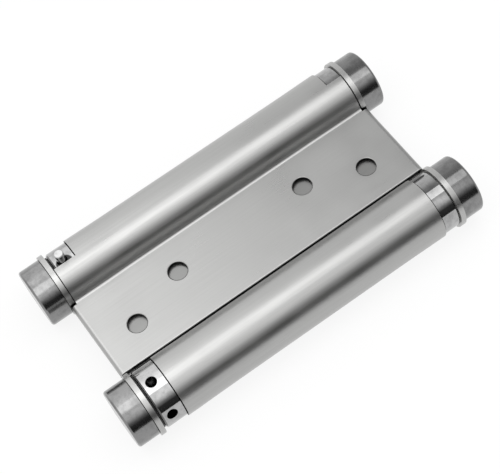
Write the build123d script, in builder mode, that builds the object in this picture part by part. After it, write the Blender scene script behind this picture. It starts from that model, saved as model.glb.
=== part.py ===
from build123d import *
from math import acos, asin, cos, degrees, pi, radians, sin, sqrt
import os

# Double action spring hinge, lying closed on its ear rings.
# +X runs along the barrels, +Y towards the front barrel, +Z out of the front leaf.
# The origin is on the floor, midway between the barrels and midway along them.

# Overall layout
leaf_length = 100.0
barrel_spacing = 45.0

# Web: the middle sheet with an ear ring at each corner
web_thickness = 1.5
ear_overhang = 0.4
ear_thickness = 1.5
ear_neck_length = 0.1
ear_neck_angle = 12.0
ear_foot_width = 4.0

# Leaf: one sheet, flat, creased and rolled
sheet_thickness = 1.2
tube_radius = 9.0
crease_radius = 0.6
roll_end_angle = 272.0
end_edge_round = 0.9
free_edge_round = 0.3

# Hood: the end of the roll that is pressed outwards over a collar
hood_thickness = 0.68
hood_crease_radius = 1.5
left_hood_edge_angle = -5.0
right_hood_edge_angle = -2.5
hood_ramp_length = 3.0
hood_ramp_steps = 4

# Screw holes, countersunk on the face that lies against the web
screw_hole_radius = 2.75
countersink_radius = 3.55
countersink_angle = 90.0
hole_rim_chamfer = 0.15
outer_hole_spacing = 76.4
inner_hole_spacing = 41.8
outer_hole_reach = 25.1
inner_hole_reach = 18.8

# Spindle
spindle_radius = 3.0
spindle_flat = 2.4
spindle_chamfer = 0.4

# Collars
collar_step = 0.35
adjusting_collar_width = 6.4
fixed_collar_width = 5.0
collar_chamfer = 0.4
collar_inner_chamfer = 0.15
hub_length = 3.0
spigot_length = 3.0
bar_hole_radius = 1.6
bar_hole_inset = 2.8
bar_hole_count = 5

# Tension pin, standing a little out of the collar when it is pushed home
pin_radius = 1.35
pin_stand = 0.6
pin_chamfer = 0.2
front_pin_lift = 2.75
back_pin_lift = 0.0
back_collar_turn = 33.0

# Thrust washer
washer_step = 1.0
washer_thickness = 0.6

# Spring of square wire
spring_wire = 2.2
spring_turns = 9
spring_leg_length = 2.0

# End cap
cap_step = 0.3
cap_length = 6.6
cap_wall = 1.6
cap_end_round = 0.8
cap_seat_chamfer = 0.2

# Clearances
leaf_gap = 0.2
leaf_edge_gap = 0.7
ear_gap = 0.3
hood_gap = 0.05
hub_gap = 0.08
spindle_gap = 0.05
press_gap = 0.02
seam_gap = 0.15
web_edge_gap = 0.45
corner_gap = 0.3
foot_gap = 0.3
spring_gap = 0.3
spring_side_gap = 0.6
spigot_gap = 0.4
leg_gap = 0.1
pin_gap = 0.05

# How far from a height an edge may lie and still be taken as at that height
height_slack = 0.01

os.makedirs("parts", exist_ok=True)

# Sizes that follow from the tube
leaf_reach = barrel_spacing - tube_radius - leaf_edge_gap
ear_radius = tube_radius + ear_overhang
collar_radius = tube_radius - collar_step
cap_radius = tube_radius - cap_step
washer_radius = tube_radius - washer_step
hub_radius = tube_radius - sheet_thickness - hub_gap
spring_inner_radius = tube_radius - sheet_thickness - spring_side_gap - spring_wire
spigot_radius = spring_inner_radius - spigot_gap

# Places worked out from the values above
axis_height = ear_radius
front_axis = Axis((0, barrel_spacing / 2, axis_height), (1, 0, 0))
centre_line = Axis((0, 0, axis_height), (1, 0, 0))
ear_inner_x = leaf_length / 2 - ear_thickness
hood_end_x = ear_inner_x - ear_gap
web_face = web_thickness / 2
leaf_inner_face = web_face + leaf_gap
leaf_outer_face = leaf_inner_face + sheet_thickness
collar_outer_x = -ear_inner_x + washer_thickness + seam_gap
collar_inner_x = collar_outer_x + adjusting_collar_width
fixed_collar_x = ear_inner_x - fixed_collar_width
tube_left_x = collar_inner_x + seam_gap
tube_right_x = fixed_collar_x - seam_gap
hood_outer_radius = collar_radius + hood_gap + hood_thickness
cap_end_x = leaf_length / 2 + cap_length
corner_reach = ear_radius + ear_neck_length + corner_gap
bar_hole_x = collar_outer_x + bar_hole_inset
fixed_leg_angle = -360.0 * spring_turns
hood_middle_radius = hood_outer_radius - hood_thickness / 2
pin_seat_radius = spindle_radius + pin_gap
pin_length = collar_radius + pin_stand - pin_seat_radius
pin_angle = left_hood_edge_angle + degrees(asin((pin_radius + pin_gap) / hood_middle_radius))
bar_hole_angle = pin_angle - degrees(asin((bar_hole_radius - pin_radius - pin_gap) / collar_radius))


def section_plane(x, y=barrel_spacing / 2, turn=0):
    """The plane across a barrel at x, centred on its axis and turned from the top, away from the web."""
    across = (0, cos(radians(turn)), -sin(radians(turn)))
    return Plane(origin=(x, y, axis_height), x_dir=across, z_dir=(1, 0, 0))


def round_the_barrel(radius, angle):
    """A point of the section at an angle from the top, counted away from the web."""
    return (radius * sin(radians(angle)), radius * cos(radians(angle)))


def leaf_section(plane, outer_radius, thickness, crease, end_angle):
    """The folded sheet across a barrel: flat, crease and roll, bounded by lines and arcs."""
    flat_end = -corner_reach - hood_crease_radius - sheet_thickness
    crease_height = leaf_outer_face + crease
    inner_radius = outer_radius - thickness
    under_crease = crease + sheet_thickness
    top_centre = (-sqrt((outer_radius + crease) ** 2 - crease_height**2), crease_height)
    low_centre = (-sqrt((inner_radius + under_crease) ** 2 - crease_height**2), crease_height)
    top_turn = degrees(acos(crease_height / (outer_radius + crease)))
    low_turn = degrees(acos(crease_height / (inner_radius + under_crease)))
    with BuildSketch(plane) as section:
        with BuildLine():
            Line((flat_end, leaf_outer_face), (top_centre[0], leaf_outer_face))
            CenterArc(top_centre, crease, -90, top_turn)
            CenterArc((0, 0), outer_radius, 90 + top_turn, -top_turn - end_angle)
            Line(round_the_barrel(outer_radius, end_angle), round_the_barrel(inner_radius, end_angle))
            CenterArc((0, 0), inner_radius, 90 - end_angle, low_turn + end_angle)
            CenterArc(low_centre, under_crease, low_turn - 90, -low_turn)
            Line((low_centre[0], leaf_inner_face), (flat_end, leaf_inner_face))
            Line((flat_end, leaf_inner_face), (flat_end, leaf_outer_face))
        make_face()
    return section.sketch


def roll_section(plane, start_angle):
    """The roll alone, from an angle on to its end."""
    inner_radius = tube_radius - sheet_thickness
    with BuildSketch(plane) as section:
        with BuildLine():
            Line(round_the_barrel(inner_radius, start_angle), round_the_barrel(tube_radius, start_angle))
            CenterArc((0, 0), tube_radius, 90 - start_angle, start_angle - roll_end_angle)
            roll_end = round_the_barrel(tube_radius, roll_end_angle)
            Line(roll_end, round_the_barrel(inner_radius, roll_end_angle))
            CenterArc((0, 0), inner_radius, 90 - roll_end_angle, roll_end_angle - start_angle)
        make_face()
    return section.sketch


def hood_ramp_sections(start_x, end_x, edge_angle):
    """Sections that swell from the tube's roll to the hood's, with a soft start and end."""
    sections = []
    for step in range(hood_ramp_steps + 1):
        share = step / hood_ramp_steps
        ease = (1 - cos(pi * share)) / 2
        radius = tube_radius + (hood_outer_radius - tube_radius) * ease
        thickness = sheet_thickness + (hood_thickness - sheet_thickness) * ease
        crease = crease_radius + (hood_crease_radius - crease_radius) * ease
        plane = section_plane(start_x + (end_x - start_x) * share)
        sections.append(leaf_section(plane, radius, thickness, crease, edge_angle))
    return sections


# Front leaf
with BuildPart() as front_leaf:
    # Flat plate, from the free edge to the crease, notched at the ears
    plate_top = Plane.XY.offset(axis_height + leaf_inner_face)
    with BuildSketch(plate_top):
        with BuildLine():
            free_y = barrel_spacing / 2 - leaf_reach
            notch_y = barrel_spacing / 2 - corner_reach
            Polyline(
                (-leaf_length / 2, free_y),
                (leaf_length / 2, free_y),
                (leaf_length / 2, notch_y),
                (hood_end_x, notch_y),
                (hood_end_x, notch_y - hood_crease_radius),
                (-hood_end_x, notch_y - hood_crease_radius),
                (-hood_end_x, notch_y),
                (-leaf_length / 2, notch_y),
                close=True,
            )
        make_face()
    extrude(amount=sheet_thickness)
    # Roll between the hood ramps
    ramp_left_x = tube_left_x + hood_ramp_length
    ramp_right_x = tube_right_x - hood_ramp_length
    mid_section = leaf_section(
        section_plane(ramp_left_x), tube_radius, sheet_thickness, crease_radius, roll_end_angle
    )
    extrude(mid_section, amount=ramp_right_x - ramp_left_x)
    # Ramps at both ends, the rest of the roll beside them, and the hoods over the collars
    for ramp_x, end_x, hood_x, edge_angle in (
        (ramp_left_x, tube_left_x, -hood_end_x, left_hood_edge_angle),
        (ramp_right_x, tube_right_x, hood_end_x, right_hood_edge_angle),
    ):
        loft(hood_ramp_sections(ramp_x, end_x, edge_angle))
        extrude(roll_section(section_plane(min(ramp_x, end_x)), edge_angle), amount=hood_ramp_length)
        hood = leaf_section(
            section_plane(min(end_x, hood_x)),
            hood_outer_radius,
            hood_thickness,
            hood_crease_radius,
            edge_angle,
        )
        extrude(hood, amount=abs(hood_x - end_x))
    # Screw holes
    inner_height = axis_height + leaf_inner_face
    inner_face = Plane(origin=(0, barrel_spacing / 2, inner_height), x_dir=(1, 0, 0), z_dir=(0, 0, -1))
    hole_rows = ((outer_hole_spacing, outer_hole_reach), (inner_hole_spacing, inner_hole_reach))
    hole_places = [(side * spacing / 2, reach) for spacing, reach in hole_rows for side in (-1, 1)]
    with Locations(inner_face):
        with Locations(*hole_places):
            CounterSinkHole(screw_hole_radius, countersink_radius, counter_sink_angle=countersink_angle)
    top_face = front_leaf.faces().filter_by(Axis.Z).group_by(SortBy.AREA)[-1].sort_by(Axis.Z)[-1]
    chamfer(top_face.edges().filter_by(GeomType.CIRCLE), hole_rim_chamfer)
    # Soft outer edges
    outer_z = axis_height + leaf_outer_face
    lowest_z, highest_z = outer_z - height_slack, outer_z + height_slack
    top_edges = front_leaf.edges().filter_by_position(Axis.Z, lowest_z, highest_z)
    fillet(top_edges.filter_by(Axis.Y).group_by(SortBy.LENGTH)[-1], end_edge_round)
    top_edges = front_leaf.edges().filter_by_position(Axis.Z, lowest_z, highest_z)
    fillet(top_edges.filter_by(Axis.X).sort_by(Axis.Y)[0], free_edge_round)


def double_flat(plane, radius, flat):
    """A round section with two flats, for the keyed end of the spindle and what it turns in."""
    with BuildSketch(plane) as section:
        Circle(radius)
        Rectangle(2 * radius, 2 * flat, mode=Mode.INTERSECT)
    return section.sketch


# Web plate with its four ears
with BuildPart() as web_plate:
    web_edge_y = barrel_spacing / 2 - tube_radius - web_edge_gap
    with BuildSketch(Plane.XY.offset(axis_height - web_face)):
        Rectangle(leaf_length, 2 * web_edge_y)
        # Feet that reach past the tubes' line to hold the ears
        foot_edge_y = barrel_spacing / 2 - collar_radius - foot_gap
        with Locations((ear_foot_width / 2 - leaf_length / 2, 0), (leaf_length / 2 - ear_foot_width / 2, 0)):
            Rectangle(ear_foot_width, 2 * foot_edge_y)
    extrude(amount=web_thickness)
    for ear_x in (-leaf_length / 2, ear_inner_x):
        with BuildSketch(section_plane(ear_x, 0)):
            with Locations((-barrel_spacing / 2, 0), (barrel_spacing / 2, 0)):
                Circle(ear_radius)
            neck_y = barrel_spacing / 2 - ear_radius - ear_neck_length
            root_y = barrel_spacing / 2 - ear_radius * cos(radians(ear_neck_angle))
            root_half_height = ear_radius * sin(radians(ear_neck_angle))
            for side in (-1, 1):
                with BuildLine():
                    Polyline(
                        (side * neck_y, -web_face),
                        (side * root_y, -root_half_height),
                        (side * root_y, root_half_height),
                        (side * neck_y, web_face),
                        close=True,
                    )
                make_face()
        extrude(amount=ear_thickness)
    # Round bores on the left, flatted bores on the right
    for bore_y in (-barrel_spacing / 2, barrel_spacing / 2):
        with BuildSketch(section_plane(-leaf_length / 2, bore_y)):
            Circle(spindle_radius + press_gap)
        extrude(amount=ear_thickness, mode=Mode.SUBTRACT)
        ear_plane = section_plane(ear_inner_x, bore_y)
        keyed_bore = double_flat(ear_plane, spindle_radius + press_gap, spindle_flat + press_gap)
        extrude(keyed_bore, amount=ear_thickness, mode=Mode.SUBTRACT)
web_plate.part.label = "web_plate"
export_step(web_plate.part, "parts/web_plate.step")

# The pieces of the front barrel follow. The back barrel's are the same, half a turn round the hinge.
barrel_profile = Plane(origin=(0, barrel_spacing / 2, axis_height), x_dir=(1, 0, 0), z_dir=(0, -1, 0))
hub_left_end_x = collar_inner_x + hub_length
hub_right_end_x = fixed_collar_x - hub_length
spindle_end_x = cap_end_x - cap_wall - press_gap
flats_start_x = hub_right_end_x - spigot_length - spindle_gap

# Spindle, with two flats from the fixed collar to its right end
with BuildPart() as front_spindle:
    with BuildSketch(section_plane(-spindle_end_x)):
        Circle(spindle_radius)
    extrude(amount=spindle_end_x + flats_start_x)
    keyed_end = double_flat(section_plane(flats_start_x), spindle_radius, spindle_flat)
    extrude(keyed_end, amount=spindle_end_x - flats_start_x)
    chamfer(front_spindle.edges().filter_by(GeomType.CIRCLE).sort_by(Axis.X)[0], spindle_chamfer)


def radial_plane(x, angle, radius):
    """A plane at a radius and angle round the barrel, facing away from its axis."""
    across, up = round_the_barrel(radius, angle)
    outward = (0, sin(radians(angle)), cos(radians(angle)))
    return Plane(origin=(x, barrel_spacing / 2 + across, axis_height + up), x_dir=(1, 0, 0), z_dir=outward)


def collar_blank(flange_x, flange_width, inward, leg_angle):
    """A turned blank: a flange, a hub that runs in the tube and a spigot that centres the spring."""
    hub_x = flange_x + inward * flange_width
    spigot_x = hub_x + inward * hub_length
    tip_x = spigot_x + inward * spigot_length
    with BuildPart() as blank:
        with BuildSketch(barrel_profile):
            with BuildLine():
                Polyline(
                    (flange_x, 0),
                    (flange_x, collar_radius),
                    (hub_x, collar_radius),
                    (hub_x, hub_radius),
                    (spigot_x, hub_radius),
                    (spigot_x, spigot_radius),
                    (tip_x, spigot_radius),
                    (tip_x, 0),
                    close=True,
                )
            make_face()
        revolve(axis=front_axis)
        rims = blank.edges().filter_by(GeomType.CIRCLE).group_by(SortBy.RADIUS)[-1].sort_by(Axis.X)
        outer_rim, inner_rim = (rims[0], rims[1]) if inward > 0 else (rims[1], rims[0])
        chamfer(outer_rim, collar_chamfer)
        chamfer(inner_rim, collar_inner_chamfer)
        # Slot for the spring's leg
        with BuildSketch(section_plane(spigot_x, turn=leg_angle)):
            with Locations((0, spring_inner_radius + spring_wire / 2)):
                Rectangle(spring_wire + 2 * leg_gap, spring_wire + 2 * leg_gap)
        extrude(amount=-inward * (spring_leg_length + leg_gap), mode=Mode.SUBTRACT)
    return blank.part


# Adjusting collar, free on the spindle, with holes for a bar and for the tension pin
with BuildPart() as front_adjusting_collar:
    add(collar_blank(collar_outer_x, adjusting_collar_width, 1, 0))
    with BuildSketch(section_plane(collar_outer_x)):
        Circle(spindle_radius + spindle_gap)
    extrude(amount=adjusting_collar_width + hub_length + spigot_length, mode=Mode.SUBTRACT)
    hole_angles = [bar_hole_angle + 360 / bar_hole_count * index for index in range(bar_hole_count)]
    with BuildSketch(*[radial_plane(bar_hole_x, angle, 0) for angle in hole_angles]):
        Circle(bar_hole_radius)
    extrude(amount=collar_radius, mode=Mode.SUBTRACT)

# Fixed collar, keyed on the spindle and seated on the ear
with BuildPart() as front_fixed_collar:
    add(collar_blank(ear_inner_x, fixed_collar_width, -1, fixed_leg_angle))
    flats_plane = section_plane(flats_start_x)
    keyed_hole = double_flat(flats_plane, spindle_radius + press_gap, spindle_flat + press_gap)
    extrude(keyed_hole, amount=ear_inner_x - flats_start_x, mode=Mode.SUBTRACT)


def tension_pin(lift):
    """The pin in its hole, raised by its lift off the spindle."""
    with BuildPart() as pin:
        with BuildSketch(radial_plane(bar_hole_x, pin_angle, pin_seat_radius + lift)):
            Circle(pin_radius)
        extrude(amount=pin_length)
        chamfer(pin.edges().filter_by(GeomType.CIRCLE), pin_chamfer)
    return pin.part


with BuildPart() as front_tension_pin:
    add(tension_pin(front_pin_lift))

# Thrust washer between the ear and the adjusting collar
with BuildPart() as front_thrust_washer:
    with BuildSketch(section_plane(-ear_inner_x)):
        Circle(washer_radius)
        Circle(spindle_radius + spindle_gap, mode=Mode.SUBTRACT)
    extrude(amount=washer_thickness)


def torsion_spring(left_leg_turn):
    """A coil of square wire between the two hubs, with a leg in each; the left leg may be turned."""
    turns = spring_turns + left_leg_turn / 360
    coil_start_x = hub_left_end_x + spring_gap + spring_wire / 2
    coil_end_x = hub_right_end_x - spring_gap - spring_wire / 2
    coil_radius = spring_inner_radius + spring_wire / 2
    coil_length = coil_end_x - coil_start_x
    with BuildPart() as spring:
        with BuildLine() as coil:
            Helix(
                pitch=coil_length / turns,
                height=coil_length,
                radius=coil_radius,
                center=(coil_start_x, barrel_spacing / 2, axis_height),
                direction=(1, 0, 0),
            )
        with BuildSketch(Plane(origin=coil.line @ 0, x_dir=(0, 0, 1), z_dir=coil.line % 0)):
            Rectangle(spring_wire, spring_wire)
        sweep(path=coil.line, is_frenet=True)
        for leg_x, coil_x, leg_angle in (
            (hub_left_end_x - spring_leg_length, coil_start_x, 0),
            (hub_right_end_x + spring_leg_length, coil_end_x, -360 * turns),
        ):
            with BuildSketch(section_plane(leg_x, turn=leg_angle)):
                with Locations((0, coil_radius)):
                    Rectangle(spring_wire, spring_wire)
            extrude(amount=coil_x - leg_x)
    return spring.part.rotate(front_axis, -left_leg_turn)


with BuildPart() as front_spring:
    add(torsion_spring(0))


def end_cap(side, bore):
    """A turned cap over a spindle end, seated on an ear's outer face."""
    seat_x = side * leaf_length / 2
    with BuildPart() as cap:
        with BuildSketch(section_plane(seat_x)):
            Circle(cap_radius)
        extrude(amount=side * cap_length)
        rims = cap.edges().filter_by(GeomType.CIRCLE).sort_by(Axis.X, reverse=side < 0)
        fillet(rims[-1], cap_end_round)
        chamfer(rims[0], cap_seat_chamfer)
        extrude(bore, amount=cap_length - cap_wall, mode=Mode.SUBTRACT)
    return cap.part


with BuildSketch(section_plane(-spindle_end_x - press_gap)) as round_bore:
    Circle(spindle_radius + press_gap)
cap_plane = section_plane(leaf_length / 2)
keyed_cap_bore = double_flat(cap_plane, spindle_radius + press_gap, spindle_flat + press_gap)
with BuildPart() as front_left_cap:
    add(end_cap(-1, round_bore.sketch))
with BuildPart() as front_right_cap:
    add(end_cap(1, keyed_cap_bore))

# The back leaf and barrel
front_pieces = {
    "front_leaf": front_leaf.part,
    "front_spindle": front_spindle.part,
    "front_adjusting_collar": front_adjusting_collar.part,
    "front_fixed_collar": front_fixed_collar.part,
    "front_tension_pin": front_tension_pin.part,
    "front_thrust_washer": front_thrust_washer.part,
    "front_spring": front_spring.part,
    "front_left_cap": front_left_cap.part,
    "front_right_cap": front_right_cap.part,
}
back_sources = {
    **front_pieces,
    "front_adjusting_collar": front_adjusting_collar.part.rotate(front_axis, -back_collar_turn),
    "front_tension_pin": tension_pin(back_pin_lift).rotate(front_axis, -back_collar_turn),
    "front_spring": torsion_spring(back_collar_turn),
}
for name, piece in front_pieces.items():
    piece.label = name
    export_step(piece, f"parts/{name}.step")
for front_name, piece in back_sources.items():
    with BuildPart() as back_piece:
        add(piece.rotate(centre_line, 180))
    name = front_name.replace("front", "back")
    back_piece.part.label = name
    export_step(back_piece.part, f"parts/{name}.step")
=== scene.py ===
import math

import bmesh
import bpy
from mathutils import Matrix, Vector


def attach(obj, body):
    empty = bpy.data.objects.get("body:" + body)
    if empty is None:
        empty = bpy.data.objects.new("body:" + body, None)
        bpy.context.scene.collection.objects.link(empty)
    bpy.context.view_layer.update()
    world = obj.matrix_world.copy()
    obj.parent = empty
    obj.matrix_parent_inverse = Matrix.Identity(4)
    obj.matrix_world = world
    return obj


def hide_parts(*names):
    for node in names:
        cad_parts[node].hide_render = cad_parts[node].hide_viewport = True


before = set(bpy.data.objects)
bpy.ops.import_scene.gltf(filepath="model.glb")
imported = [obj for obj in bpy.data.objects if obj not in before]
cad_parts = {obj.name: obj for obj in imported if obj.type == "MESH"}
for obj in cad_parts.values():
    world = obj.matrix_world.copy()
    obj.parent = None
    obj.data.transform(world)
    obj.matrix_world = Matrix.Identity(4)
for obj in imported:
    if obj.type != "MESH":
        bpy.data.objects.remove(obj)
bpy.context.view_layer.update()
print("frame loaded:", len(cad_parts), "nodes")

mm = 0.001
frontAxis = (0.0225, 0.0094)  # y and z of the barrel axes, in metres
backAxis = (-0.0225, 0.0094)


def toLinear(hexColour):
    channels = [int(hexColour[i:i + 2], 16) / 255 for i in (1, 3, 5)]
    linear = [c / 12.92 if c <= 0.04045 else ((c + 0.055) / 1.055) ** 2.4 for c in channels]
    return (*linear, 1.0)


# one node with its settings, and its inputs as values or as the sockets that feed them
def addNode(tree, kind, settings=None, inputs=None):
    node = tree.nodes.new(kind)
    for name, value in (settings or {}).items():
        setattr(node, name, value)
    for name, value in (inputs or {}).items():
        if isinstance(value, bpy.types.NodeSocket):
            tree.links.new(value, node.inputs[name])
        else:
            node.inputs[name].default_value = value
    return node


def newMaterial(name):
    material = bpy.data.materials.new(name)
    material.use_nodes = True
    tree = material.node_tree
    tree.nodes.clear()
    return material, tree


def dress(material, *nodeNames):
    for name in nodeNames:
        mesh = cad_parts[name].data
        mesh.materials.clear()
        mesh.materials.append(material)


# Brushed 304 stainless sheet, rubbed along its length: a soft grey sheen with faint long streaks
sheetLook = {
    "colour": "#b2b2b1",
    "streakColour": "#a6a6a5",
    "webShadeColour": "#8e8e8d",  # the web's faces between the leaves, painted darker: painted shade under the leaves and in the screw holes
    "edgeShadeColour": "#2c2c2c",  # sheared edges are dull, and drawn near black as painted shade
    "edgeRoughness": 0.45,
    "roughness": (0.27, 0.37),
    "patternRange": (0.12, 0.4),  # of streaks times clouds, from which the roughness follows
    "streakWidth": 0.35 * mm,  # real grit lines are about 0.05 mm, drawn coarser so that they show
    "streakLength": 24 * mm,
    "streakDepth": 0.0016 * mm,
    "cloudSize": 14 * mm,
    "webHalfWidth": 13.4 * mm,  # of the web's part that lies between the leaves
    "squareOn": 0.9,  # how nearly a face looks along an axis to be taken as looking along it
}


def brushedStainlessSheet(look, name):
    material, tree = newMaterial(name)
    place = addNode(tree, "ShaderNodeTexCoord").outputs["Object"]
    stretch = addNode(tree, "ShaderNodeMapping", inputs={
        "Vector": place,
        "Scale": (1 / look["streakLength"], 1 / look["streakWidth"], 1 / look["streakWidth"]),
    }).outputs["Vector"]
    streaks = addNode(tree, "ShaderNodeTexNoise", inputs={
        "Vector": stretch, "Scale": 1.0, "Detail": 3.0, "Roughness": 0.6,
    }).outputs["Fac"]
    clouds = addNode(tree, "ShaderNodeTexNoise", inputs={
        "Vector": place, "Scale": 1 / look["cloudSize"], "Detail": 2.0,
    }).outputs["Fac"]
    both = addNode(tree, "ShaderNodeMath", {"operation": "MULTIPLY"}, {0: streaks, 1: clouds}).outputs[0]
    faint, strong = look["patternRange"]
    low, high = look["roughness"]
    roughness = addNode(tree, "ShaderNodeMapRange", inputs={
        "Value": both, "From Min": faint, "From Max": strong, "To Min": low, "To Max": high,
    }).outputs["Result"]
    bump = addNode(tree, "ShaderNodeBump", inputs={
        "Height": streaks, "Strength": 1.0, "Distance": look["streakDepth"],
    }).outputs["Normal"]
    colour = addNode(tree, "ShaderNodeMix", {"data_type": "RGBA"}, {
        "Factor": streaks, 6: toLinear(look["colour"]), 7: toLinear(look["streakColour"]),
    }).outputs[2]
    shader = addNode(tree, "ShaderNodeBsdfPrincipled", inputs={
        "Base Color": colour, "Metallic": 1.0, "Roughness": roughness, "Normal": bump,
    })
    addNode(tree, "ShaderNodeOutputMaterial", inputs={"Surface": shader.outputs["BSDF"]})
    return material, tree, shader


# the web's two faces only show through the screw holes, and its long edges in the gaps beside the leaves;
# painted shade darkens both there
def paintWebShade(tree, shader, look):
    place = addNode(tree, "ShaderNodeTexCoord").outputs["Object"]
    split = addNode(tree, "ShaderNodeSeparateXYZ", inputs={"Vector": place}).outputs
    normal = addNode(tree, "ShaderNodeNewGeometry").outputs["Normal"]
    normalParts = addNode(tree, "ShaderNodeSeparateXYZ", inputs={"Vector": normal}).outputs
    offCentre = addNode(tree, "ShaderNodeMath", {"operation": "ABSOLUTE"}, {0: split["Y"]}).outputs[0]
    between = addNode(tree, "ShaderNodeMath", {"operation": "LESS_THAN"}, {
        0: offCentre, 1: look["webHalfWidth"],
    }).outputs[0]
    colour = toLinear(look["colour"])
    # painted shade: faces looking up or down, and faces looking sideways, between the leaves take darker
    # colours
    for axis, shadeColour in (("Z", "webShadeColour"), ("Y", "edgeShadeColour")):
        facing = addNode(tree, "ShaderNodeMath", {"operation": "ABSOLUTE"}, {0: normalParts[axis]})
        flat = addNode(tree, "ShaderNodeMath", {"operation": "GREATER_THAN"}, {
            0: facing.outputs[0], 1: look["squareOn"],
        })
        webShadeMask = addNode(tree, "ShaderNodeMath", {"operation": "MULTIPLY"}, {0: flat.outputs[0], 1: between})
        colour = addNode(tree, "ShaderNodeMix", {"data_type": "RGBA"}, {
            "Factor": webShadeMask.outputs[0], 6: colour, 7: toLinear(look[shadeColour]),
        }).outputs[2]
    tree.links.new(colour, shader.inputs["Base Color"])


# Turned steel: crisp bands round the piece, with fine rings left by the tool
turnedLook = {
    "ringPitch": 0.3 * mm,  # real tool rings are about 0.1 mm apart, drawn coarser so that they show
    "ringDepth": 0.0012 * mm,
    "wearShares": (0.8, 1.25),  # of the roughness, in the grooves and on the ridges
    "mottleSize": 2.6 * mm,  # thin oil lies in patches
    "mottleRange": (0.42, 0.68),
    "mottleShare": 0.72,
    "holeShadeColour": "#0d0d0e",  # painted shade: the collars' drilled holes drawn black, as deep holes lie in shade
    "holeShadeFade": 0.3 * mm,
    # painted shadow and painted dark reflection of the pin, round its foot on the front adjusting collar
    "pinShadeReach": 2.7 * mm,
    "pinShadeFade": 0.35 * mm,
    "pinShadeShare": 0.92,
    "pinShadeCentre": (-0.0447, 0.0218, 0.0180),  # where the front pin bears on the hood's edge; the painted shadow and reflection centre here
}

turnedPieces = {
    # bright turned caps: sharp light and dark bands, a little dulled by oil
    "TurnedCaps": {
        "nodes": ("left_cap", "right_cap"), "colour": "#8a8a8a", "roughness": 0.16, "ringShare": 1.0,
    },
    # polished collars: almost a mirror, with painted shade, black, in their holes below the shade radius
    "PolishedCollars": {
        "nodes": ("adjusting_collar", "fixed_collar"), "colour": "#b0b0b0", "roughness": 0.06,
        "ringShare": 0.3, "holeShadeRadius": 8.3 * mm,
    },
    # ground pins: even and bright
    "GroundPin": {"nodes": ("tension_pin",), "colour": "#bdbdbd", "roughness": 0.12, "ringShare": 0.5},
    # drawn spindles: satin grey
    "DrawnSpindle": {"nodes": ("spindle",), "colour": "#9c9c9c", "roughness": 0.25, "ringShare": 0.5},
    # oiled spring wire: dark, with a soft shine
    "OiledSpring": {"nodes": ("spring",), "colour": "#4a4a4c", "roughness": 0.3, "ringShare": 0.5},
}


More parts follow.
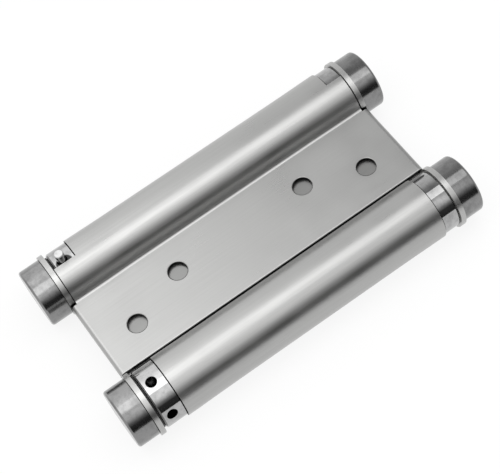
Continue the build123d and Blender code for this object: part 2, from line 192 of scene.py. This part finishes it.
def turnedSteel(name, piece, axisPlace, pinShaded=False):
    look = turnedLook
    material, tree = newMaterial(name)
    place = addNode(tree, "ShaderNodeTexCoord").outputs["Object"]
    split = addNode(tree, "ShaderNodeSeparateXYZ", inputs={"Vector": place}).outputs
    across = addNode(tree, "ShaderNodeMath", {"operation": "SUBTRACT"}, {0: split["Y"], 1: axisPlace[0]})
    up = addNode(tree, "ShaderNodeMath", {"operation": "SUBTRACT"}, {0: split["Z"], 1: axisPlace[1]})
    offAxis = addNode(tree, "ShaderNodeCombineXYZ", inputs={"Y": across.outputs[0], "Z": up.outputs[0]})
    length = addNode(tree, "ShaderNodeVectorMath", {"operation": "LENGTH"}, {0: offAxis.outputs[0]})
    radius = length.outputs["Value"]
    rings = addNode(tree, "ShaderNodeMath", {"operation": "ADD"}, {0: split["X"], 1: radius})
    grooves = addNode(tree, "ShaderNodeTexNoise", {"noise_dimensions": "1D"}, {
        "W": rings.outputs[0], "Scale": 1 / look["ringPitch"], "Detail": 2.0,
    }).outputs["Fac"]
    bump = addNode(tree, "ShaderNodeBump", inputs={
        "Height": grooves, "Strength": 1.0, "Distance": look["ringDepth"] * piece["ringShare"],
    }).outputs["Normal"]
    smooth, worn = (piece["roughness"] * share for share in look["wearShares"])
    wear = addNode(tree, "ShaderNodeMapRange", inputs={
        "Value": grooves, "To Min": smooth, "To Max": worn,
    }).outputs["Result"]
    mottle = addNode(tree, "ShaderNodeTexNoise", inputs={
        "Vector": place, "Scale": 1 / look["mottleSize"], "Detail": 4.0, "Roughness": 0.65,
    }).outputs["Fac"]
    thin, thick = look["mottleRange"]
    oily = addNode(tree, "ShaderNodeMapRange", inputs={
        "Value": mottle, "From Min": thin, "From Max": thick, "To Min": 0.0, "To Max": 1.0,
    }).outputs["Result"]
    clean = toLinear(piece["colour"])
    dulled = (*(channel * look["mottleShare"] for channel in clean[:3]), 1.0)
    steel = addNode(tree, "ShaderNodeMix", {"data_type": "RGBA"}, {
        "Factor": oily, 6: clean, 7: dulled,
    }).outputs[2]
    shader = addNode(tree, "ShaderNodeBsdfPrincipled", inputs={
        "Base Color": steel, "Metallic": 1.0, "Roughness": wear, "Normal": bump,
    })
    # painted shade: black inside the collars' holes, below the shade radius
    if "holeShadeRadius" in piece:
        holeShadeRadius = piece["holeShadeRadius"]
        dark = addNode(tree, "ShaderNodeMapRange", inputs={
            "Value": radius, "From Min": holeShadeRadius - look["holeShadeFade"], "From Max": holeShadeRadius,
            "To Min": 1.0, "To Max": 0.0,
        }).outputs["Result"]
        # painted shade: the pin's shadow and its dark reflection, round the pin's foot
        if pinShaded:
            near = addNode(tree, "ShaderNodeVectorMath", {"operation": "DISTANCE"}, {
                0: place, 1: look["pinShadeCentre"],
            }).outputs["Value"]
            reach = look["pinShadeReach"]
            pinShade = addNode(tree, "ShaderNodeMapRange", inputs={
                "Value": near, "From Min": reach - look["pinShadeFade"], "From Max": reach,
                "To Min": look["pinShadeShare"], "To Max": 0.0,
            }).outputs["Result"]
            dark = addNode(tree, "ShaderNodeMath", {"operation": "MAXIMUM"}, {0: dark, 1: pinShade}).outputs[0]
        mixed = addNode(tree, "ShaderNodeMix", {"data_type": "RGBA"}, {
            "Factor": dark, 6: steel, 7: toLinear(look["holeShadeColour"]),
        }).outputs[2]
        tree.links.new(mixed, shader.inputs["Base Color"])
    addNode(tree, "ShaderNodeOutputMaterial", inputs={"Surface": shader.outputs["BSDF"]})
    return material


# Moulded black nylon: dark, with a dull fine grain
washerLook = {
    "colour": "#0c0c0d",
    "roughness": 0.6,
    "ior": 1.53,
    "grain": 0.2 * mm,
    "grainDepth": 0.01 * mm,
    "grainStrength": 0.3,
}


def blackNylon(look):
    material, tree = newMaterial("blackNylon")
    place = addNode(tree, "ShaderNodeTexCoord").outputs["Object"]
    grain = addNode(tree, "ShaderNodeTexNoise", inputs={
        "Vector": place, "Scale": 1 / look["grain"], "Detail": 2.0,
    }).outputs["Fac"]
    bump = addNode(tree, "ShaderNodeBump", inputs={
        "Height": grain, "Strength": look["grainStrength"], "Distance": look["grainDepth"],
    }).outputs["Normal"]
    shader = addNode(tree, "ShaderNodeBsdfPrincipled", inputs={
        "Base Color": toLinear(look["colour"]), "Roughness": look["roughness"], "IOR": look["ior"],
        "Normal": bump,
    })
    addNode(tree, "ShaderNodeOutputMaterial", inputs={"Surface": shader.outputs["BSDF"]})
    return material


# Sheared stainless edges: torn by the tool, so duller than the faces; their near-black colour is painted
# shade
def shadedShearedEdge(look):
    material, tree = newMaterial("shadedShearedEdge")
    place = addNode(tree, "ShaderNodeTexCoord").outputs["Object"]
    tears = addNode(tree, "ShaderNodeTexNoise", inputs={
        "Vector": place, "Scale": 1 / look["streakWidth"], "Detail": 2.0,
    }).outputs["Fac"]
    bump = addNode(tree, "ShaderNodeBump", inputs={
        "Height": tears, "Strength": 1.0, "Distance": look["streakDepth"],
    }).outputs["Normal"]
    shader = addNode(tree, "ShaderNodeBsdfPrincipled", inputs={
        "Base Color": toLinear(look["edgeShadeColour"]), "Metallic": 1.0, "Roughness": look["edgeRoughness"],
        "Normal": bump,
    })
    addNode(tree, "ShaderNodeOutputMaterial", inputs={"Surface": shader.outputs["BSDF"]})
    return material


leafSheet, _, _ = brushedStainlessSheet(sheetLook, "brushedStainlessSheet")
shadedLeafEdge = shadedShearedEdge(sheetLook)
dress(leafSheet, "front_leaf", "back_leaf")
webSheet, webTree, webShader = brushedStainlessSheet(sheetLook, "brushedStainlessWeb")
paintWebShade(webTree, webShader, sheetLook)
dress(webSheet, "web_plate")
dress(blackNylon(washerLook), "front_thrust_washer", "back_thrust_washer")
for side, axisPlace in (("front", frontAxis), ("back", backAxis)):
    for kind, piece in turnedPieces.items():
        steel = turnedSteel(side + kind, piece, axisPlace)
        dress(steel, *(side + "_" + node for node in piece["nodes"]))
# the front adjusting collar also gets the pin's painted shadow and painted reflection
pinShadedCollar = turnedSteel("pinShadedPolishedCollar", turnedPieces["PolishedCollars"], frontAxis, pinShaded=True)
dress(pinShadedCollar, "front_adjusting_collar")
print("materials done")


# The leaf is one sheet, all in millimetres here. Across the barrel, u runs from its axis away from the
# web and v up from the web's middle. The hood over each collar is thin, and nearly flush with the roll.
leafSheetForm = {
    "halfLength": 50.0,
    "reach": 35.3,
    "innerFace": 0.95,
    "outerFace": 2.15,
    "rollRadius": 9.0,
    "rollInside": 7.8,
    "rollEndAngle": 272.0,
    "rollStep": 4,  # degrees
    "crease": 1.2,
    "underCrease": 2.4,
    "creaseSteps": 6,
    "hoodRise": 0.1,  # how far the roll swells to clear a collar
    "hoodInside": 8.7,
    "hoodUnderCrease": 1.0,
    "hoodEnd": 48.2,
    "hoodEdgeAngles": (-5.0, -2.5),  # left and right
    "hoodSteps": 16,
    "rollEnds": (-41.2, 43.35),
    "swellLength": 14.0,
    "swellSteps": 8,
    "notch": -9.8,
    "endRound": 1.1,
    "freeRound": 0.3,
    "middleStations": (-12.0, 0.0, 12.0),
    "flatLines": (-30.0, -22.0, -15.0),
    "guard": 0.15,  # a line this far behind a rounded edge keeps the flat flat
    "creaseGuard": 0.04,
    "hoodStart": 0.02,  # how far past the end of the roll the sheet is down to the hood's thickness
    # lines across the sheet, counted from its free edge: the notch, and both edge angles of the hoods
    "notchRow": 8,
    "lowEdgeRow": 32,
    "highEdgeRow": 33,
    "holes": ((-38.2, -25.1), (38.2, -25.1), (-20.9, -18.8), (20.9, -18.8)),
    # from the countersink on the inner face up to the rim, as radius and height
    "holeProfile": (
        (0.0, 0.5), (4.0, 0.5), (2.75, 1.75), (2.75, 1.88), (2.79, 1.98), (2.86, 2.03), (3.02, 2.15),
        (3.02, 2.6), (0.0, 2.6),
    ),
    "rimHeights": (2.03, 2.15),  # the rim keeps the sheet's own colour, out of the edges' painted shade
    "holeSegments": 64,
    "sharpAngle": 32,  # degrees
}


# a point of the front leaf in metres, from millimetres along, across and up
def leafPoint(x, u, v):
    return (x * mm, frontAxis[0] + u * mm, frontAxis[1] + v * mm)


# stations along the leaf: close together at the rounded ends and the swells
def leafStations(form):
    half, endRound = form["halfLength"], form["endRound"]
    ends = [half - endRound + endRound * math.sin(math.radians(turn)) for turn in (0, 18, 36, 54, 72, 90)]
    ends.append(half - endRound - form["guard"])
    stations = {side * x for x in ends for side in (-1, 1)}
    stations |= {-form["hoodEnd"], form["hoodEnd"]}
    for side, rollEnd in zip((-1, 1), form["rollEnds"]):
        stations |= {rollEnd, rollEnd + side * form["hoodStart"]}
        for step in range(form["swellSteps"]):
            stations.add(rollEnd - side * form["swellLength"] * (step + 1) / form["swellSteps"])
    stations |= set(form["middleStations"])
    return sorted(stations)


# the outer and inner lines of the folded sheet at a station, from its free edge to the end of the roll
def leafLines(form, x):
    side = 0 if x < 0 else 1
    beyond = abs(x) - abs(form["rollEnds"][side])
    share = min(1.0, max(0.0, 1 + beyond / form["swellLength"]))
    radius = form["rollRadius"] + form["hoodRise"] * (1 - math.cos(math.pi * share)) / 2
    inHood = beyond > 0
    inside = form["hoodInside"] if inHood else form["rollInside"]
    under = form["hoodUnderCrease"] if inHood else form["underCrease"]
    pastEnd = max(0.0, abs(x) - form["halfLength"] + form["endRound"])
    endDrop = form["endRound"] - math.sqrt(max(0.0, form["endRound"] ** 2 - pastEnd ** 2))
    outerLine = (radius, form["crease"], form["outerFace"], endDrop, form["freeRound"])
    innerLine = (inside, under, form["innerFace"], 0.0, 0.0)
    lines = []
    for roll, crease, face, drop, edgeDrop in (outerLine, innerLine):
        centre = -math.sqrt((roll + crease) ** 2 - (face + crease) ** 2)
        turn = math.acos((face + crease) / (roll + crease))
        line = []
        for angle in (0, 30, 60, 90):
            ease = edgeDrop * (1 - math.sin(math.radians(angle)))
            across = form["freeRound"] * (1 - math.cos(math.radians(angle)))
            line.append((-form["reach"] + across, face - max(ease, drop)))
        behindEdge = -form["reach"] + form["freeRound"] + form["guard"]
        for u in (behindEdge, *form["flatLines"], form["notch"], centre - form["creaseGuard"]):
            line.append((u, face - drop))
        for step in range(form["creaseSteps"] + 1):
            angle = turn * step / form["creaseSteps"]
            line.append((centre + crease * math.sin(angle), face + crease - crease * math.cos(angle)))
        start = -math.degrees(turn)
        low, high = form["hoodEdgeAngles"]
        steps = form["hoodSteps"]
        angles = [start + (low - start) * step / steps for step in range(1, steps + 1)] + [high]
        rest = int((form["rollEndAngle"] - high) / form["rollStep"])
        angles += [high + (form["rollEndAngle"] - high) * step / rest for step in range(1, rest + 1)]
        for angle in angles:
            line.append((roll * math.sin(math.radians(angle)), roll * math.cos(math.radians(angle))))
        lines.append(line)
    return lines


# whether the sheet is there, in the cell from one row to the next
def leafCell(form, x, row):
    left, right = form["rollEnds"]
    if row < form["notchRow"]:
        return True
    if row < form["lowEdgeRow"]:
        return abs(x) < form["hoodEnd"]
    if row < form["highEdgeRow"]:
        return left < x < form["hoodEnd"]
    return left < x < right


def addLeaf(form, name, body, turned):
    stations = leafStations(form)
    sections = [leafLines(form, x) for x in stations]
    rows = len(sections[0][0])
    shape = bmesh.new()
    points = {}

    def vertex(i, row, layer):
        if (i, row, layer) not in points:
            points[i, row, layer] = shape.verts.new(leafPoint(stations[i], *sections[i][layer][row]))
        return points[i, row, layer]

    cells = set()
    for i in range(len(stations) - 1):
        middle = (stations[i] + stations[i + 1]) / 2
        cells |= {(i, row) for row in range(rows - 1) if leafCell(form, middle, row)}
    for i, row in cells:
        corners = ((i, row), (i + 1, row), (i + 1, row + 1), (i, row + 1))
        for layer in (0, 1):
            shape.faces.new([vertex(*corner, layer) for corner in corners])
        besides = ((i, row - 1), (i + 1, row), (i, row + 1), (i - 1, row))
        for index, beside in enumerate(besides):
            if beside not in cells:
                first, last = corners[index], corners[(index + 1) % 4]
                around = ((*first, 0), (*last, 0), (*last, 1), (*first, 1))
                # the sheet's cut edges take the near-black painted shade of the edge material
                wall = shape.faces.new([vertex(*corner) for corner in around])
                wall.material_index = 1
    bmesh.ops.recalc_face_normals(shape, faces=shape.faces)
    mesh = bpy.data.meshes.new(name)
    shape.to_mesh(mesh)
    shape.free()
    mesh.materials.append(leafSheet)
    mesh.materials.append(shadedLeafEdge)
    leaf = bpy.data.objects.new(name, mesh)
    bpy.context.scene.collection.objects.link(leaf)
    drillLeaf(form, leaf)
    if turned:
        leaf.data.transform(Matrix.Translation((0, 0, 2 * frontAxis[1])) @ Matrix.Diagonal((1, -1, -1, 1)))
    leaf.data.polygons.foreach_set("use_smooth", [True] * len(leaf.data.polygons))
    leaf.data.set_sharp_from_angle(angle=math.radians(form["sharpAngle"]))
    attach(leaf, body)
    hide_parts(body)


# cuts the four countersunk holes, with a rim softened by the punch
def drillLeaf(form, leaf):
    drills = bmesh.new()
    count = form["holeSegments"]
    profile = form["holeProfile"]
    rimLow, rimHigh = form["rimHeights"]
    for x, u in form["holes"]:
        rings = []
        for radius, height in profile:
            ring = []
            for step in range(count if radius else 1):
                turn = 2 * math.pi * step / count
                place = leafPoint(x + radius * math.cos(turn), u + radius * math.sin(turn), height)
                ring.append(drills.verts.new(place))
            rings.append(ring)
        for lower, upper, (_, start), (_, end) in zip(rings, rings[1:], profile, profile[1:]):
            onRim = rimLow <= start < end <= rimHigh
            for step in range(count):
                after = (step + 1) % count
                corners = [lower[step % len(lower)], lower[after % len(lower)]]
                corners += [upper[after % len(upper)], upper[step % len(upper)]]
                face = drills.faces.new(list(dict.fromkeys(corners)))
                # the hole's walls take the edges' painted shade, the rim the sheet's own colour
                face.material_index = 1 if onRim else 0
    bmesh.ops.recalc_face_normals(drills, faces=drills.faces)
    drillMesh = bpy.data.meshes.new("drills")
    drills.to_mesh(drillMesh)
    drills.free()
    drillMesh.materials.append(shadedLeafEdge)
    drillMesh.materials.append(leafSheet)
    drillPiece = bpy.data.objects.new("drills", drillMesh)
    bpy.context.scene.collection.objects.link(drillPiece)
    cut = leaf.modifiers.new("screwHoles", "BOOLEAN")
    cut.operation = "DIFFERENCE"
    cut.solver = "EXACT"
    cut.material_mode = "TRANSFER"
    cut.object = drillPiece
    ready = leaf.evaluated_get(bpy.context.evaluated_depsgraph_get())
    drilled = bpy.data.meshes.new_from_object(ready)
    leaf.modifiers.remove(cut)
    leaf.data = drilled
    bpy.data.objects.remove(drillPiece)


addLeaf(leafSheetForm, "frontLeafSheet", "front_leaf", False)
addLeaf(leafSheetForm, "backLeafSheet", "back_leaf", True)
print("leaves done")


studio = {
    "floorSize": 6.0,
    "floorColour": "#f4f4f4",
    "seenWhite": 0.85,  # share of the floor's white that no shadow reaches
    "fillLight": 1.05,  # plain soft light on what isn't metal
    "stripPlace": (0.01, -0.012, 0.20),
    "stripSize": (0.30, 0.10),
    "stripPower": 0.11,
    # what the metal sees round the long axis, as degrees from straight up, away from the camera positive,
    # and brightness; the two rows are for the light that comes from the left and from the right
    "leftBands": (
        (-180, 0.03), (-92, 0.03), (-66, 0.04), (-55, 0.34), (-45, 0.95), (-36, 1.45), (-26, 1.60),
        (-12, 1.55), (10, 1.65), (22, 2.15), (34, 2.05), (50, 1.55), (80, 1.35), (100, 1.15), (180, 1.00),
    ),
    "rightBands": (
        (-180, 0.03), (-92, 0.03), (-66, 0.05), (-55, 0.32), (-45, 0.80), (-36, 1.10), (-26, 1.10),
        (-12, 0.66), (10, 0.36), (22, 0.32), (34, 0.40), (50, 0.68), (80, 0.90), (100, 0.80), (180, 0.75),
    ),
    "fromLeftToRight": (0.04, 0.25),  # between these x of the light's direction, one row fades to the other
    # past these x of the direction the bands fade to one brightness, at the left and the right end
    "endFades": ((-0.2, -0.7), (0.34, 0.8)),
    "endwards": (0.95, 0.65),
}


def buildFloor(setup):
    half = setup["floorSize"] / 2
    corners = [(-half, -half, 0), (half, -half, 0), (half, half, 0), (-half, half, 0)]
    mesh = bpy.data.meshes.new("floor")
    mesh.from_pydata(corners, [], [(0, 1, 2, 3)])
    floor = bpy.data.objects.new("floor", mesh)
    bpy.context.scene.collection.objects.link(floor)
    material, tree = newMaterial("palePaperSweep")
    rays = addNode(tree, "ShaderNodeLightPath").outputs
    seen = addNode(tree, "ShaderNodeMath", {"operation": "MAXIMUM"}, {
        0: rays["Is Camera Ray"], 1: rays["Is Transmission Ray"],
    })
    mirrored = addNode(tree, "ShaderNodeMath", {"operation": "MAXIMUM"}, {
        0: seen.outputs[0], 1: rays["Is Glossy Ray"],
    })
    share = addNode(tree, "ShaderNodeMath", {"operation": "MULTIPLY"}, {
        0: mirrored.outputs[0], 1: setup["seenWhite"],
    })
    paper = addNode(tree, "ShaderNodeBsdfDiffuse", inputs={"Color": toLinear(setup["floorColour"])})
    glow = addNode(tree, "ShaderNodeEmission", inputs={"Color": (1, 1, 1, 1), "Strength": 1.0})
    mix = addNode(tree, "ShaderNodeMixShader", inputs={
        "Fac": share.outputs[0], 1: paper.outputs["BSDF"], 2: glow.outputs["Emission"],
    })
    addNode(tree, "ShaderNodeOutputMaterial", inputs={"Surface": mix.outputs["Shader"]})
    mesh.materials.append(material)


def buildWorld(setup):
    world = bpy.data.worlds.new("studioWorld")
    bpy.context.scene.world = world
    world.use_nodes = True
    tree = world.node_tree
    tree.nodes.clear()
    direction = addNode(tree, "ShaderNodeTexCoord").outputs["Generated"]
    split = addNode(tree, "ShaderNodeSeparateXYZ", inputs={"Vector": direction}).outputs
    turn = addNode(tree, "ShaderNodeMath", {"operation": "ARCTAN2"}, {0: split["Y"], 1: split["Z"]})
    position = addNode(tree, "ShaderNodeMapRange", inputs={
        "Value": turn.outputs[0], "From Min": -math.pi, "From Max": math.pi, "To Min": 0.0, "To Max": 1.0,
    }).outputs["Result"]
    bands = []
    for name in ("leftBands", "rightBands"):
        ramp = addNode(tree, "ShaderNodeValToRGB", inputs={"Fac": position})
        elements = ramp.color_ramp.elements
        stops = [((angle + 180) / 360, level) for angle, level in setup[name]]
        for element, (place, level) in zip(list(elements), (stops[0], stops[-1])):
            element.position = place
            element.color = (level, level, level, 1)
        for place, level in stops[1:-1]:
            elements.new(place).color = (level, level, level, 1)
        bands.append(ramp.outputs["Color"])
    start, end = setup["fromLeftToRight"]
    rightwards = addNode(tree, "ShaderNodeMapRange", {"interpolation_type": "SMOOTHSTEP"}, {
        "Value": split["X"], "From Min": start, "From Max": end, "To Min": 0.0, "To Max": 1.0,
    }).outputs["Result"]
    studioLight = addNode(tree, "ShaderNodeMix", {"data_type": "RGBA"}, {
        "Factor": rightwards, 6: bands[0], 7: bands[1],
    }).outputs[2]
    for (start, end), level in zip(setup["endFades"], setup["endwards"]):
        share = addNode(tree, "ShaderNodeMapRange", {"interpolation_type": "SMOOTHSTEP"}, {
            "Value": split["X"], "From Min": start, "From Max": end, "To Min": 0.0, "To Max": 1.0,
        }).outputs["Result"]
        studioLight = addNode(tree, "ShaderNodeMix", {"data_type": "RGBA"}, {
            "Factor": share, 6: studioLight, 7: (level, level, level, 1),
        }).outputs[2]
    rays = addNode(tree, "ShaderNodeLightPath").outputs
    fill = addNode(tree, "ShaderNodeMix", {"data_type": "RGBA"}, {
        "Factor": rays["Is Glossy Ray"], 6: (setup["fillLight"],) * 3 + (1,), 7: studioLight,
    }).outputs[2]
    backdrop = addNode(tree, "ShaderNodeMath", {"operation": "MAXIMUM"}, {
        0: rays["Is Camera Ray"], 1: rays["Is Transmission Ray"],
    })
    colour = addNode(tree, "ShaderNodeMix", {"data_type": "RGBA"}, {
        "Factor": backdrop.outputs[0], 6: fill, 7: (1, 1, 1, 1),
    }).outputs[2]
    background = addNode(tree, "ShaderNodeBackground", inputs={"Color": colour, "Strength": 1.0})
    addNode(tree, "ShaderNodeOutputWorld", inputs={"Surface": background.outputs["Background"]})


# a strip light close over the barrels
def addStripLight(setup):
    light = bpy.data.lights.new("stripLight", "AREA")
    light.shape = "RECTANGLE"
    light.size, light.size_y = setup["stripSize"]
    light.energy = setup["stripPower"]
    strip = bpy.data.objects.new("stripLight", light)
    strip.location = setup["stripPlace"]
    strip.visible_camera = False
    bpy.context.scene.collection.objects.link(strip)


buildFloor(studio)
buildWorld(studio)
addStripLight(studio)
print("studio done")


# near and above, turned so that the barrels run up to the right
cameraSetup = {
    "place": (-0.0707, -0.2052, 0.3891),
    "right": (0.81478, -0.55995, -0.15030),
    "up": (0.55625, 0.68191, 0.47495),
    "lens": 115.0,
    "sensor": 36.0,
}


def addCamera(setup):
    data = bpy.data.cameras.new("camera")
    data.lens = setup["lens"]
    data.sensor_width = setup["sensor"]
    data.sensor_fit = "HORIZONTAL"
    data.clip_start = 0.01
    camera = bpy.data.objects.new("camera", data)
    right = Vector(setup["right"]).normalized()
    up = Vector(setup["up"]).normalized()
    backwards = right.cross(up)
    turn = Matrix((right, up, backwards)).transposed()
    camera.matrix_world = Matrix.Translation(setup["place"]) @ turn.to_4x4()
    bpy.context.scene.collection.objects.link(camera)
    bpy.context.scene.camera = camera


addCamera(cameraSetup)
bpy.context.scene.view_settings.view_transform = "Standard"
print("camera done")
